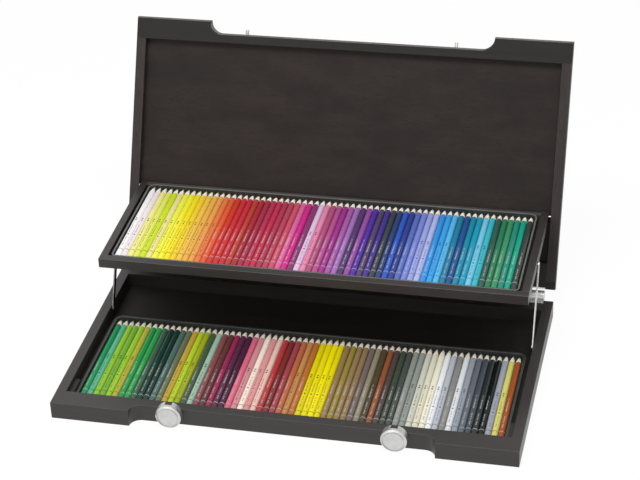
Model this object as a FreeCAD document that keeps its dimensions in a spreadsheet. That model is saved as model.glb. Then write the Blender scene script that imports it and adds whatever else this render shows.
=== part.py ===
"""Pencil case of stained wood: a base and a lid on two barrel hinges, an upper tray that rises
with the lid on two flat links, two rows of coloured pencils and two turn knobs at the front.

Every piece is drawn where it lies in the closed case. Its Placement then takes it to the place
that it has with the lid open, which is how the case rests.

Frame: X to the right, Y to the back, Z up. The origin is the centre of the base's underside.
"""
import FreeCAD, Part
import math
import os
import re

doc = FreeCAD.newDocument("PencilCase")
Vector = FreeCAD.Vector

SIZES = (
    # case, with the lid on it
    ("case_width", 558), ("case_depth", 308), ("base_height", 22), ("lid_height", 12),
    ("side_rail", 12), ("front_rail", 26), ("rear_rail", 16), ("floor_plate", 3),
    ("rear_recess", 6),
    # recess in the front edge, for the knobs
    ("recess_half", 182.5), ("base_recess", 13.5), ("lid_recess", 15.7),
    # lid
    ("lid_front_rail", 27.5), ("lid_rear_rail", 22.4), ("hinge_strip", 10), ("strip_recess", 2),
    ("lid_panel", 3),
    # upper tray
    ("tray_side_gap", 2.8), ("tray_front_gap", 3.2), ("tray_height", 12.4), ("tray_lift", 16.2),
    ("tray_side_rail", 9.2), ("tray_front_rail", 10.4), ("tray_rear_rail", 6.4),
    ("tray_floor", 4), ("tray_horn", 1), ("tray_tail", 2.6),
    # motion
    ("open_angle", 116), ("arm_reach", 100), ("arm_rise", 2), ("link_pivot_ahead", 103.7),
    ("link_pivot_up", 17), ("link_width", 8), ("link_thick", 1.5), ("pivot_diameter", 3),
    ("open_pivot_slack", 0.4), ("pivot_depth", 7), ("head_diameter", 6), ("head_thick", 0.4),
    # hinges
    ("hinge_behind", 9.2), ("barrel_diameter", 15), ("hinge_length", 90), ("knuckle_gap", 0.4),
    ("hinge_pin", 5),
    ("base_leaf", 3), ("base_leaf_low", 3), ("base_leaf_high", 19), ("leaf_web", 8),
    ("web_height", 8), ("lid_leaf_rise", 2), ("lid_leaf_height", 9), ("lid_web_height", 6),
    ("screw_diameter", 3.2), ("screw_head", 6.4), ("screw_head_thick", 1.2),
    ("screw_length", 12), ("screw_inset", 14), ("base_screw_up", 8),
    # knobs and what they catch
    ("knob_spread", 134.3), ("knob_up", 16.5), ("knob_diameter", 31), ("knob_front_inset", 1.5),
    ("knob_wall_gap", 0.5), ("knob_bevel", 1.8), ("knob_face", 24), ("knob_groove", 1.4),
    ("knob_groove_deep", 1.2), ("disc_sunk", 0.3), ("disc_thick", 2), ("knob_slot", 8.4),
    ("catch_ring", 6), ("catch_deep", 4.6), ("spindle", 6), ("spindle_seat", 8),
    ("retainer", 8.8), ("retainer_thick", 1.4), ("retainer_well", 9.2),
    ("retainer_well_deep", 5), ("spindle_end_gap", 0.8), ("latch_pin", 4.4),
    ("latch_pin_reach", 6.2), ("latch_pin_up", 28), ("latch_pin_seat", 10),
    ("catch_slack", 0.4),
    # tins and pencils
    ("tin_wall", 0.6), ("tin_rear_corner", 8), ("tin_front_corner", 4),
    ("lower_tin_rim", 2.4), ("lower_tin_height", 8.4), ("lower_tin_gap", 4.6),
    ("lower_tin_side_gap", 7), ("upper_tin_rim", 1.6), ("upper_tin_height", 8),
    ("upper_tin_gap", 0.3), ("upper_tin_side_gap", 3.5), ("upper_tin_play", 0.1),
    ("pencil_diameter", 7.6), ("pencil_pitch", 7.75), ("pencil_cone", 12),
    ("lead_diameter", 3.6), ("lead_tip", 1.2), ("lead_point", 3), ("pencil_butt_gap", 1),
    ("pencil_tip_gap", 1.2), ("pencil_side_gap", 1.2), ("pencil_lift", 0.05),
    # rests for the closed tray
    ("rest_width", 6.4), ("rest_length", 27), ("rest_inset", 7), ("rest_slack", 0.2),
    # clearances
    ("running", 0.08), ("overrun", 5),
)

sheet = doc.addObject("Spreadsheet::Sheet", "Sizes")
for row, (alias, number) in enumerate(SIZES, start=1):
    sheet.set("A%d" % row, alias)
    sheet.set("B%d" % row, str(number))
    sheet.setAlias("B%d" % row, alias)
doc.recompute()

ALIASES = re.compile(r"\b(%s)\b" % "|".join(alias for alias, number in SIZES))

# planes of the closed case, as sums of the sheet's cells
FRONT = "(-case_depth / 2)"
BACK = "(case_depth / 2)"
SIDE = "(case_width / 2)"
INNER_SIDE = "(case_width / 2 - side_rail)"
INNER_FRONT = "(-case_depth / 2 + front_rail)"
RECESS_BACK = "(case_depth / 2 - rear_recess)"
INNER_BACK = "(case_depth / 2 - rear_recess - rear_rail)"
LID_TOP = "(base_height + lid_height)"
LID_UNDER = "(base_height + lid_height - lid_panel)"
LID_INNER_FRONT = "(-case_depth / 2 + lid_front_rail)"
STRIP_FRONT = "(case_depth / 2 - hinge_strip)"
STRIP_BACK = "(case_depth / 2 - strip_recess)"
LID_INNER_BACK = "(case_depth / 2 - hinge_strip - lid_rear_rail)"
HINGE_BACK = "(case_depth / 2 + hinge_behind)"
TRAY_SIDE = "(case_width / 2 - side_rail - tray_side_gap)"
TRAY_INNER = "(case_width / 2 - side_rail - tray_side_gap - tray_side_rail)"
TRAY_FRONT = "(-case_depth / 2 + front_rail + tray_front_gap)"
TRAY_INNER_FRONT = "(-case_depth / 2 + front_rail + tray_front_gap + tray_front_rail)"
TRAY_TOP = "(tray_lift + tray_height)"
ARM_BACK = "(%s - arm_reach)" % HINGE_BACK
TRAY_BACK = "(%s + tray_tail)" % ARM_BACK
TRAY_INNER_BACK = "(%s - tray_rear_rail)" % TRAY_BACK
ARM_UP = "(base_height + arm_rise)"
LINK_BACK = "(%s - link_pivot_ahead)" % HINGE_BACK
LINK_FRONT = "(%s - arm_reach)" % LINK_BACK
LINK_FRONT_UP = "(link_pivot_up + arm_rise)"
LINK_MIDDLE = "(case_width / 2 - side_rail - tray_side_gap / 2)"
BASE_RECESS_WALL = "(-case_depth / 2 + base_recess)"
LID_RECESS_WALL = "(-case_depth / 2 + lid_recess)"
KNOB_FRONT = "(-case_depth / 2 + knob_front_inset)"
KNOB_BACK = "(-case_depth / 2 + base_recess - knob_wall_gap)"

TURN_TO = {
    "X": FreeCAD.Rotation(Vector(0, 1, 0), 90),
    "Y": FreeCAD.Rotation(Vector(1, 0, 0), -90),
    "Z": FreeCAD.Rotation(),
}


def bind(thing, **sums):
    """Bind properties of an object to sums of the sheet's cells."""
    for name, text in sums.items():
        thing.setExpression(name.replace("__", "."), ALIASES.sub(r"Sizes.\1", str(text)))


def place(thing, x, y, z):
    bind(thing, Placement__Base__x=x, Placement__Base__y=y, Placement__Base__z=z)


def block(name, x, y, z):
    """A box between two planes on each axis."""
    box = doc.addObject("Part::Box", name)
    bind(box, Length="(%s) - (%s)" % (x[1], x[0]))
    bind(box, Width="(%s) - (%s)" % (y[1], y[0]))
    bind(box, Height="(%s) - (%s)" % (z[1], z[0]))
    place(box, x[0], y[0], z[0])
    return box


def rod(name, axis, diameter, span, across):
    """A cylinder along an axis, between two planes, through a point given by the other two axes."""
    cylinder = doc.addObject("Part::Cylinder", name)
    cylinder.Placement = FreeCAD.Placement(Vector(), TURN_TO[axis])
    bind(cylinder, Radius="(%s) / 2" % diameter, Height="(%s) - (%s)" % (span[1], span[0]))
    spot = list(across)
    spot.insert("XYZ".index(axis), span[0])
    place(cylinder, *spot)
    return cylinder


def taper(name, axis, diameters, span, across):
    """A cone along an axis, between two planes, from the first diameter to the second."""
    cone = doc.addObject("Part::Cone", name)
    cone.Placement = FreeCAD.Placement(Vector(), TURN_TO[axis])
    bind(cone, Radius1="(%s) / 2" % diameters[0], Radius2="(%s) / 2" % diameters[1])
    bind(cone, Height="(%s) - (%s)" % (span[1], span[0]))
    spot = list(across)
    spot.insert("XYZ".index(axis), span[0])
    place(cone, *spot)
    return cone


def fuse(name, *shapes):
    joined = doc.addObject("Part::MultiFuse", name)
    joined.Shapes = list(shapes)
    return joined


def cut(name, base, *tools):
    """Cut one or more tools out of a base."""
    result = doc.addObject("Part::Cut", name)
    result.Base = base
    result.Tool = tools[0] if len(tools) == 1 else fuse(name + "_tools", *tools)
    return result


def sided(side, pair):
    """Two planes across X, given for the right side, on the right (1) or on the left (-1)."""
    if side > 0:
        return pair
    return ("(-(%s))" % pair[1], "(-(%s))" % pair[0])


def turned(radians_of, y, z):
    """The place of a point of the closed case once the lid is open, seen from its pivot."""
    angle = -math.radians(radians_of)
    return (y * math.cos(angle) - z * math.sin(angle), y * math.sin(angle) + z * math.cos(angle))


# Where the open lid takes things: the lid and the links swing, the tray is only carried along.
hinge_back = sheet.case_depth / 2 + sheet.hinge_behind
hinge_line = Vector(0, hinge_back, sheet.base_height)
link_line = Vector(0, hinge_back - sheet.link_pivot_ahead, sheet.link_pivot_up)
swing = FreeCAD.Rotation(Vector(1, 0, 0), -sheet.open_angle)
arm_back, arm_up = turned(sheet.open_angle, -sheet.arm_reach, sheet.arm_rise)
WITH_BASE = FreeCAD.Placement()
WITH_LID = FreeCAD.Placement(Vector(), swing, hinge_line)
WITH_LINK = FreeCAD.Placement(Vector(), swing, link_line)
WITH_TRAY = FreeCAD.Placement(
    Vector(0, arm_back + sheet.arm_reach, arm_up - sheet.arm_rise), FreeCAD.Rotation())
SIDES = ((-1, "left"), (1, "right"))
nodes = []


def node(shape, name, placement):
    """Name a finished sub-part and take it from the closed case to its place in the open one."""
    piece = doc.addObject("Part::Compound", "piece_" + name)
    piece.Links = [shape]
    piece.Label = name
    piece.Placement = placement
    nodes.append(piece)


def recess(name, deep, z):
    """The recess of the front edge: straight, with a quarter round at either end."""
    flat = "(recess_half - %s)" % deep
    tools = [block(name, ("(-%s)" % flat, flat), (FRONT + " - overrun", FRONT + " + " + deep), z)]
    for side, word in SIDES:
        x = sided(side, (flat, flat))[0]
        tools.append(rod("%s_%s" % (name, word), "Z", "(2 * %s)" % deep, z, (x, FRONT)))
    return tools


# Base
through_base = ("(-overrun)", "(base_height + overrun)")
front = block("front_bar", ("(-%s)" % SIDE, SIDE), (FRONT, INNER_FRONT), ("0", "base_height"))
front_cuts = recess("base_recess_cut", "base_recess", through_base)
for side, word in SIDES:
    knob_at = ("(%d * knob_spread)" % side, "knob_up")
    bore = "(spindle + 2 * running)"
    well = (INNER_FRONT + " - retainer_well_deep", INNER_FRONT + " + overrun")
    front_cuts.append(rod("spindle_bore_" + word, "Y", bore, (FRONT, INNER_FRONT), knob_at))
    front_cuts.append(rod("retainer_well_" + word, "Y", "retainer_well", well, knob_at))
node(cut("front_rail", front, *front_cuts), "base_front_rail", WITH_BASE)

for side, word in SIDES:
    x = sided(side, (INNER_SIDE, SIDE))
    rail = block("side_bar_" + word, x, (INNER_FRONT, BACK), ("0", "base_height"))
    hole = sided(side, (INNER_SIDE + " - overrun", INNER_SIDE + " + pivot_depth"))
    pivot_at = (LINK_BACK, "link_pivot_up")
    bore = rod("pivot_hole_" + word, "X", "pivot_diameter", hole, pivot_at)
    node(cut("side_rail_" + word, rail, bore), "base_%s_rail" % word, WITH_BASE)


def hinge_centre(side):
    return "(%d * (case_width / 2 - side_rail - knuckle_gap - hinge_length / 2))" % side


def screw_places(side):
    """Both screws of a leaf, across X."""
    reach = "(hinge_length / 2 - screw_inset)"
    return ["(%s %s %s)" % (hinge_centre(side), sign, reach) for sign in "-+"]


def wood_screw(name, x, y, z):
    """A countersunk screw, its head flush with the plane y, pointing to the front."""
    head = taper(name + "_head", "Y", ("screw_diameter", "screw_head"),
                 (y + " - screw_head_thick", y), (x, z))
    shank = rod(name + "_shank", "Y", "screw_diameter", (y + " - screw_length", y), (x, z))
    return fuse(name, head, shank)


LEAF_BACK = RECESS_BACK + " + base_leaf"
LID_SCREW_UP = "(base_height + lid_leaf_rise + lid_leaf_height / 2)"
screws = {"base": [], "lid": []}
for side, word in SIDES:
    for place_name, x in zip("ab", screw_places(side)):
        label = "%s_%s_" % (word, place_name)
        screws["base"].append(wood_screw(label + "base_screw", x, LEAF_BACK, "base_screw_up"))
        screws["lid"].append(wood_screw(label + "lid_screw", x, BACK, LID_SCREW_UP))

inside = ("(-%s)" % INNER_SIDE, INNER_SIDE)
rear = block("rear_bar", inside, (INNER_BACK, RECESS_BACK), ("0", "base_height"))
base_screws = fuse("base_screws", *screws["base"])
node(cut("rear_rail", rear, base_screws), "base_rear_rail", WITH_BASE)
floor = block("floor_plate", inside, (INNER_FRONT, INNER_BACK), ("0", "floor_plate"))
node(floor, "base_floor", WITH_BASE)

rests = []
for side, word in SIDES:
    x = sided(side, (INNER_SIDE + " - rest_width", INNER_SIDE))
    y = (INNER_FRONT + " + rest_inset", INNER_FRONT + " + rest_inset + rest_length")
    rests.append(block("rest_" + word, x, y, ("floor_plate", "(tray_lift - rest_slack)")))
node(fuse("rests", *rests), "tray_rests", WITH_BASE)

# Links and their pivots
for side, word in SIDES:
    x = sided(side, (LINK_MIDDLE + " - link_thick / 2", LINK_MIDDLE + " + link_thick / 2"))
    strip = doc.addObject("Part::Box", "strip_" + word)
    bind(strip, Length="link_thick", Width="sqrt(arm_reach^2 + arm_rise^2)", Height="link_width")
    tilt = math.degrees(math.atan2(-sheet.arm_rise, sheet.arm_reach))
    strip.Placement = FreeCAD.Placement(Vector(), FreeCAD.Rotation(Vector(1, 0, 0), tilt))
    half = "(link_width / 2 / sqrt(arm_reach^2 + arm_rise^2))"
    place(strip, x[0], LINK_FRONT + " - %s * arm_rise" % half,
          LINK_FRONT_UP + " - %s * arm_reach" % half)
    ends = ((LINK_FRONT, LINK_FRONT_UP), (LINK_BACK, "link_pivot_up"))
    rounds = [rod("end_%s_%d" % (word, i), "X", "link_width", x, at) for i, at in enumerate(ends)]
    open_hole = "(pivot_diameter + 2 * open_pivot_slack)"
    pivot_hole = "(pivot_diameter + 2 * running)"
    holes = [rod("eye_%s_%d" % (word, i), "X", diameter, x, at)
             for i, (at, diameter) in enumerate(zip(ends, (open_hole, pivot_hole)))]
    blank = fuse("link_blank_" + word, strip, *rounds)
    node(cut("link_cut_" + word, blank, *holes), "link_" + word, WITH_LINK)


def pivots(name, seat, tip, at, head):
    """A plain pin at either side, with a thin head over the link where there is room for one."""
    pins = []
    for side, word in SIDES:
        span = sided(side, (seat, tip))
        pins.append(rod("%s_%s" % (name, word), "X", "pivot_diameter", span, at))
        if head:
            span = sided(side, head)
            pins.append(rod("%s_head_%s" % (name, word), "X", "head_diameter", span, at))
    return fuse(name, *pins)


link_inner = "(%s - link_thick / 2)" % LINK_MIDDLE
link_outer = "(%s + link_thick / 2)" % LINK_MIDDLE
head_inside = (link_inner + " - running - head_thick", link_inner + " - running")
base_pivots = pivots("base_pivot", link_inner + " - running", INNER_SIDE + " + pivot_depth",
                     (LINK_BACK, "link_pivot_up"), head_inside)
node(base_pivots, "link_base_pivots", WITH_BASE)
tray_pivots = pivots("tray_pivot", TRAY_SIDE + " - pivot_depth", link_outer,
                     (LINK_FRONT, LINK_FRONT_UP), None)
node(tray_pivots, "link_tray_pivots", WITH_TRAY)
lid_pivots = pivots("lid_pivot", TRAY_SIDE + " - pivot_depth", INNER_SIDE + " + pivot_depth",
                    (ARM_BACK, ARM_UP), None)
node(lid_pivots, "tray_lid_pivots", WITH_LID)

# Lid
lid_z = ("base_height", LID_TOP)
lid_cut_z = ("(base_height - overrun)", LID_TOP + " + overrun")
lid_front = block("lid_front_bar", ("(-%s)" % SIDE, SIDE), (FRONT, LID_INNER_FRONT), lid_z)
lid_cuts = recess("lid_recess_cut", "lid_recess", lid_cut_z)
latch_span = (LID_RECESS_WALL + " - latch_pin_reach", LID_RECESS_WALL + " + latch_pin_seat")
latch_pins = []
for side, word in SIDES:
    at = ("(%d * knob_spread)" % side, "latch_pin_up")
    latch_pins.append(rod("latch_pin_" + word, "Y", "latch_pin", latch_span, at))
latches = fuse("latches", *latch_pins)
node(cut("lid_front", lid_front, *lid_cuts, latches), "lid_front_rail", WITH_LID)
node(latches, "latch_pins", WITH_LID)

for side, word in SIDES:
    x = sided(side, (INNER_SIDE, SIDE))
    rail = block("lid_side_bar_" + word, x, (LID_INNER_FRONT, STRIP_FRONT), lid_z)
    hole = sided(side, (INNER_SIDE + " - overrun", INNER_SIDE + " + pivot_depth"))
    bore = rod("lid_pivot_hole_" + word, "X", "pivot_diameter", hole, (ARM_BACK, ARM_UP))
    node(cut("lid_side_" + word, rail, bore), "lid_%s_rail" % word, WITH_LID)

lid_screws = fuse("lid_screws", *screws["lid"])
lid_rear = block("lid_rear_bar", inside, (LID_INNER_BACK, STRIP_FRONT), lid_z)
node(cut("lid_rear", lid_rear, lid_screws), "lid_rear_rail", WITH_LID)
strip = block("strip_bar", ("(-%s)" % SIDE, SIDE), (STRIP_FRONT, BACK), lid_z)
bay = block("strip_bay", inside, (STRIP_BACK, BACK + " + overrun"), lid_cut_z)
node(cut("strip", strip, bay, lid_screws), "lid_hinge_strip", WITH_LID)
panel = block("panel", inside, (LID_INNER_FRONT, LID_INNER_BACK), (LID_UNDER, LID_TOP))
node(panel, "lid_panel", WITH_LID)

# Hinges: two knuckles on the base leaf, one between them on the lid leaf, one pin
for side, word in SIDES:
    middle = hinge_centre(side)
    ends = (middle + " - hinge_length / 2", middle + " + hinge_length / 2")
    third = "(hinge_length / 6)"
    gap = "(knuckle_gap / 2)"
    axis_at = (HINGE_BACK, "base_height")
    knuckles = (
        ("first", (ends[0], "%s - %s - %s" % (middle, third, gap))),
        ("last", ("%s + %s + %s" % (middle, third, gap), ends[1])),
    )
    solids = [block("base_leaf_" + word, ends, (RECESS_BACK, LEAF_BACK),
                    ("base_leaf_low", "base_leaf_high"))]
    for place_name, span in knuckles:
        label = "%s_%s_" % (word, place_name)
        solids.append(rod(label + "knuckle", "X", "barrel_diameter", span, axis_at))
        web_y = (LEAF_BACK, BACK + " + leaf_web / 2")
        solids.append(block(label + "web", span, web_y,
                            ("(base_leaf_high - web_height)", "base_leaf_high")))
    leaf = fuse("base_leaf_body_" + word, *solids)
    pin_hole = rod("base_pin_hole_" + word, "X", "hinge_pin", ends, axis_at)
    node(cut("base_leaf_done_" + word, leaf, pin_hole, base_screws),
         "hinge_%s_base_leaf" % word, WITH_BASE)

    knuckle_span = ("%s - %s + %s" % (middle, third, gap), "%s + %s - %s" % (middle, third, gap))
    leaf_z = ("(base_height + lid_leaf_rise)", "(base_height + lid_leaf_rise + lid_leaf_height)")
    web_z = (leaf_z[0], "(base_height + lid_leaf_rise + lid_web_height)")
    solids = (
        block("lid_leaf_" + word, ends, (STRIP_BACK, BACK), leaf_z),
        rod("lid_knuckle_" + word, "X", "barrel_diameter", knuckle_span, axis_at),
        block("lid_web_" + word, knuckle_span, (STRIP_BACK, BACK + " + leaf_web / 2"), web_z),
    )
    leaf = fuse("lid_leaf_body_" + word, *solids)
    pin_hole = rod("lid_pin_hole_" + word, "X", "(hinge_pin + 2 * running)", ends, axis_at)
    node(cut("lid_leaf_done_" + word, leaf, pin_hole, lid_screws),
         "hinge_%s_lid_leaf" % word, WITH_LID)
    pin = rod("hinge_pin_" + word, "X", "hinge_pin", ends, axis_at)
    node(pin, "hinge_%s_pin" % word, WITH_BASE)
node(base_screws, "hinge_base_screws", WITH_BASE)
node(lid_screws, "hinge_lid_screws", WITH_LID)

# Knobs
for side, word in SIDES:
    at = ("(%d * knob_spread)" % side, "knob_up")
    span = (KNOB_FRONT + " + knob_bevel", KNOB_BACK)
    drum = rod("drum_" + word, "Y", "knob_diameter", span, at)
    bevel = taper("bevel_" + word, "Y", ("(knob_diameter - 2 * knob_bevel)", "knob_diameter"),
                  (KNOB_FRONT, KNOB_FRONT + " + knob_bevel"), at)
    body = fuse("knob_blank_" + word, drum, bevel)
    disc_back = KNOB_FRONT + " + disc_sunk + disc_thick"
    ring_front = KNOB_BACK + " - catch_deep"
    pin_circle = "(2 * (latch_pin_up - knob_up))"
    play = "(latch_pin + 2 * catch_slack)"
    channel = cut("channel_" + word,
                  rod("channel_outer_" + word, "Y", "(%s + %s)" % (pin_circle, play),
                      (ring_front, KNOB_BACK + " + overrun"), at),
                  rod("channel_inner_" + word, "Y", "(%s - %s)" % (pin_circle, play),
                      (ring_front, KNOB_BACK + " + overrun"), at))
    slot = block("slot_" + word, (at[0] + " - knob_slot / 2", at[0] + " + knob_slot / 2"),
                 (KNOB_BACK + " - catch_ring", KNOB_BACK + " + overrun"),
                 ("(latch_pin_up - %s / 2)" % play, "(knob_up + knob_diameter)"))
    groove = rod("groove_" + word, "Y", "(knob_face + 2 * knob_groove)",
                 (KNOB_FRONT + " - overrun", KNOB_FRONT + " + knob_groove_deep"), at)
    seat = rod("disc_seat_" + word, "Y", "knob_face", (KNOB_FRONT + " - overrun", disc_back), at)
    bore = rod("knob_bore_" + word, "Y", "spindle",
               (KNOB_BACK + " - spindle_seat", KNOB_BACK + " + overrun"), at)
    node(cut("knob_turned_" + word, body, channel, slot, groove, seat, bore),
         "knob_%s_body" % word, WITH_BASE)
    disc = rod("disc_" + word, "Y", "knob_face", (KNOB_FRONT + " + disc_sunk", disc_back), at)
    node(disc, "knob_%s_disc" % word, WITH_BASE)
    spindle = rod("spindle_" + word, "Y", "spindle",
                  (KNOB_BACK + " - spindle_seat", INNER_FRONT + " - spindle_end_gap"), at)
    node(spindle, "knob_%s_spindle" % word, WITH_BASE)
    ring_y = (INNER_FRONT + " - retainer_well_deep + running",
              INNER_FRONT + " - retainer_well_deep + running + retainer_thick")
    ring = cut("retainer_ring_" + word, rod("retainer_" + word, "Y", "retainer", ring_y, at),
               rod("retainer_hole_" + word, "Y", "spindle", ring_y, at))
    node(ring, "knob_%s_retainer" % word, WITH_BASE)

# Upper tray
tray_z = ("tray_lift", TRAY_TOP)
across = ("(-%s)" % TRAY_SIDE, TRAY_SIDE)
tray_inside = ("(-%s)" % TRAY_INNER, TRAY_INNER)
node(block("tray_front", across, (TRAY_FRONT, TRAY_INNER_FRONT), tray_z),
     "tray_front_rail", WITH_TRAY)
for side, word in SIDES:
    x = sided(side, (TRAY_INNER, TRAY_SIDE))
    rail = block("tray_side_" + word, x, (TRAY_INNER_FRONT, TRAY_BACK + " + tray_horn"), tray_z)
    bore = sided(side, (TRAY_SIDE + " - pivot_depth", TRAY_SIDE))
    free = "(pivot_diameter + 2 * running)"
    holes = (rod("tray_lid_hole_" + word, "X", free, bore, (ARM_BACK, ARM_UP)),
             rod("tray_link_hole_" + word, "X", "pivot_diameter", bore,
                 (LINK_FRONT, LINK_FRONT_UP)))
    node(cut("tray_rail_" + word, rail, *holes), "tray_%s_rail" % word, WITH_TRAY)
UPPER_RIM_TOP = "(tray_lift + tray_floor + upper_tin_height)"
rear_z = ("tray_lift", "(%s - tin_wall)" % UPPER_RIM_TOP)
node(block("tray_rear", tray_inside, (TRAY_INNER_BACK, TRAY_BACK), rear_z),
     "tray_rear_rail", WITH_TRAY)
node(block("tray_floor_plate", tray_inside, (TRAY_INNER_FRONT, TRAY_INNER_BACK),
           ("tray_lift", "(tray_lift + tray_floor)")), "tray_floor", WITH_TRAY)


# Tins: pressed sheet with rounded corners and a flat rim
def rounded(box, front_corner, rear_corner):
    """Round the four upright edges of a box, the front pair and the rear pair."""
    doc.recompute()
    middle = box.Shape.BoundBox.Center.y
    edges = []
    for number, edge in enumerate(box.Shape.Edges, start=1):
        if abs(edge.tangentAt(edge.FirstParameter).z) > math.cos(math.pi / 4):
            radius = rear_corner if edge.CenterOfMass.y > middle else front_corner
            edges.append((number, radius, radius))
    fillet = doc.addObject("Part::Fillet", box.Name + "_rounded")
    fillet.Base = box
    fillet.Edges = edges
    return fillet


def tin(name, half, y, z, rim):
    """A tin whose inside is given: half its width, its front and back, its underside and top."""
    corners = (sheet.tin_front_corner, sheet.tin_rear_corner)
    inner = block(name + "_inner", ("(-%s)" % half, half), y,
                  ("(%s + tin_wall)" % z[0], "(%s + overrun)" % z[1]))
    inner = rounded(inner, *corners)
    wall = "(%s + tin_wall)" % half
    outer = block(name + "_outer", ("(-%s)" % wall, wall),
                  ("(%s - tin_wall)" % y[0], "(%s + tin_wall)" % y[1]), z)
    outer = rounded(outer, *[corner + sheet.tin_wall for corner in corners])
    edge = "(%s + tin_wall + %s)" % (half, rim)
    flange = block(name + "_flange", ("(-%s)" % edge, edge),
                   ("(%s - tin_wall - %s)" % (y[0], rim), "(%s + tin_wall + %s)" % (y[1], rim)),
                   ("(%s - tin_wall)" % z[1], z[1]))
    edge_value = sheet.tin_wall + getattr(sheet, rim)
    flange = rounded(flange, *[corner + edge_value for corner in corners])
    return cut(name, fuse(name + "_blank", outer, flange), inner)


UPPER_FRONT = "(%s + upper_tin_gap + upper_tin_rim + tin_wall)" % TRAY_INNER_FRONT
LOWER_FRONT = "(%s + lower_tin_gap + lower_tin_rim + tin_wall)" % INNER_FRONT
ROW_DEPTH = "(%s - upper_tin_play - tin_wall - %s)" % (TRAY_INNER_BACK, UPPER_FRONT)
LOWER_HALF = "(%s - lower_tin_side_gap - lower_tin_rim - tin_wall)" % INNER_SIDE
UPPER_HALF = "(%s - upper_tin_side_gap - upper_tin_rim - tin_wall)" % TRAY_INNER
lower_tin = tin("lower_tin_shape", LOWER_HALF, (LOWER_FRONT, "(%s + %s)" % (LOWER_FRONT, ROW_DEPTH)),
                ("floor_plate", "(floor_plate + lower_tin_height)"), "lower_tin_rim")
node(lower_tin, "lower_tin", WITH_BASE)
upper_tin = tin("upper_tin_shape", UPPER_HALF, (UPPER_FRONT, "(%s + %s)" % (UPPER_FRONT, ROW_DEPTH)),
                ("(tray_lift + tray_floor)", UPPER_RIM_TOP), "upper_tin_rim")
node(upper_tin, "upper_tin", WITH_TRAY)


# Pencils: a round wooden casing with a lead in it, butt to the front and point to the back
def turned_solid(points):
    """A solid of revolution about the Y axis, from points given as radius and distance along."""
    wire = Part.makePolygon([Vector(radius, along, 0) for radius, along in points + points[:1]])
    return Part.Face(wire).revolve(Vector(), Vector(0, 1, 0), 360)


def pencil_row(name, cavity, placement):
    """A row that fills the inside of its tin: casings and leads, each pencil a solid of its own."""
    room = cavity.Shape.BoundBox
    radius = sheet.pencil_diameter / 2
    core = sheet.lead_diameter / 2
    length = room.YLength - sheet.pencil_butt_gap - sheet.pencil_tip_gap
    shoulder = length - sheet.pencil_cone
    bare = length - sheet.lead_point
    casing = turned_solid([(core, 0), (radius, 0), (radius, shoulder), (core, bare)])
    lead = turned_solid([(0, 0), (core, 0), (core, bare), (sheet.lead_tip / 2, length),
                         (0, length)])
    spare = room.XLength - sheet.pencil_diameter - 2 * sheet.pencil_side_gap
    count = int(spare / sheet.pencil_pitch) + 1
    casings = []
    leads = []
    for index in range(count):
        spot = Vector((index - (count - 1) / 2) * sheet.pencil_pitch,
                      room.YMin + sheet.pencil_butt_gap, room.ZMin + radius + sheet.pencil_lift)
        casings.append(casing.translated(spot))
        leads.append(lead.translated(spot))
    for kind, solids in (("casings", casings), ("leads", leads)):
        feature = doc.addObject("Part::Feature", "%s_%s" % (name, kind))
        feature.Shape = Part.makeCompound(solids)
        node(feature, "%s_pencil_%s" % (name, kind), placement)


doc.recompute()
pencil_row("lower", lower_tin.Tool, WITH_BASE)
pencil_row("upper", upper_tin.Tool, WITH_TRAY)

doc.recompute()
for thing in doc.Objects:
    if "Invalid" in thing.State or "Error" in thing.State:
        raise RuntimeError("%s failed: %s" % (thing.Name, thing.State))
for piece in nodes:
    if piece.Shape.isNull() or not piece.Shape.isValid():
        raise RuntimeError("%s has no valid shape" % piece.Label)

os.makedirs("parts", exist_ok=True)
for piece in nodes:
    piece.Shape.exportStep("parts/%s.step" % piece.Label)
    print("%-24s %3d solids %12.1f mm3" % (piece.Label, len(piece.Shape.Solids), piece.Shape.Volume))
print(len(nodes), "nodes")
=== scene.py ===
# %% [markdown]
# # A wooden case for two rows of colour pencils
#
# The real object is a flat case of dark stained wood. It stands open: the lid leans back, and it has
# lifted an upper tray on two flat links, so that both rows of pencils show. Every moving part here
# comes from a fixed frame of solids, and this lesson gives each of them the shape of its edges, its
# fittings and its finish. All lengths are metres, and the case's front looks along -Y.

# %% Load the frame
import colorsys
import math
import random
import bpy
from mathutils import Matrix, Vector


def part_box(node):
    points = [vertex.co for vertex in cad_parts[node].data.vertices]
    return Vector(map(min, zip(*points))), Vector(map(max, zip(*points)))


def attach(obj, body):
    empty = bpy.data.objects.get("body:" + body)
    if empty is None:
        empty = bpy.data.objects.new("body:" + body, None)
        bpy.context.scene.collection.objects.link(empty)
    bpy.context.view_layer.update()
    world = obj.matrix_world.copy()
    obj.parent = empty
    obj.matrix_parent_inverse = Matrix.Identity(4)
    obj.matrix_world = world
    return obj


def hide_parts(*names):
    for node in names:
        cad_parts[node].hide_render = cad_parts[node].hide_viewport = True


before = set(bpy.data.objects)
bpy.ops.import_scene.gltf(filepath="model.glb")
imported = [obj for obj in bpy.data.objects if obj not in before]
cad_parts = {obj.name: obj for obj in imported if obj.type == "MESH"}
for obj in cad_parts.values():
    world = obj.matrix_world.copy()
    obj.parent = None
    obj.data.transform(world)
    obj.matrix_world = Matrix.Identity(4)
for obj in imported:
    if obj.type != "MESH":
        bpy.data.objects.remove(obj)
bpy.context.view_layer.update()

MM = 0.001

# %% [markdown]
# ## Working on one piece at a time
#
# An operator acts on everything that is selected, and the frame arrives selected. So each step first
# clears the selection and then takes hold of one piece.

# %% Take hold of one piece
def take(piece):
    bpy.ops.object.select_all(action="DESELECT")
    piece.select_set(True)
    bpy.context.view_layer.objects.active = piece


def open_mesh(piece):
    take(piece)
    bpy.ops.object.mode_set(mode="EDIT")
    bpy.ops.mesh.select_mode(type="FACE")
    bpy.ops.mesh.select_all(action="DESELECT")
    bpy.ops.object.mode_set(mode="OBJECT")


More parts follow.
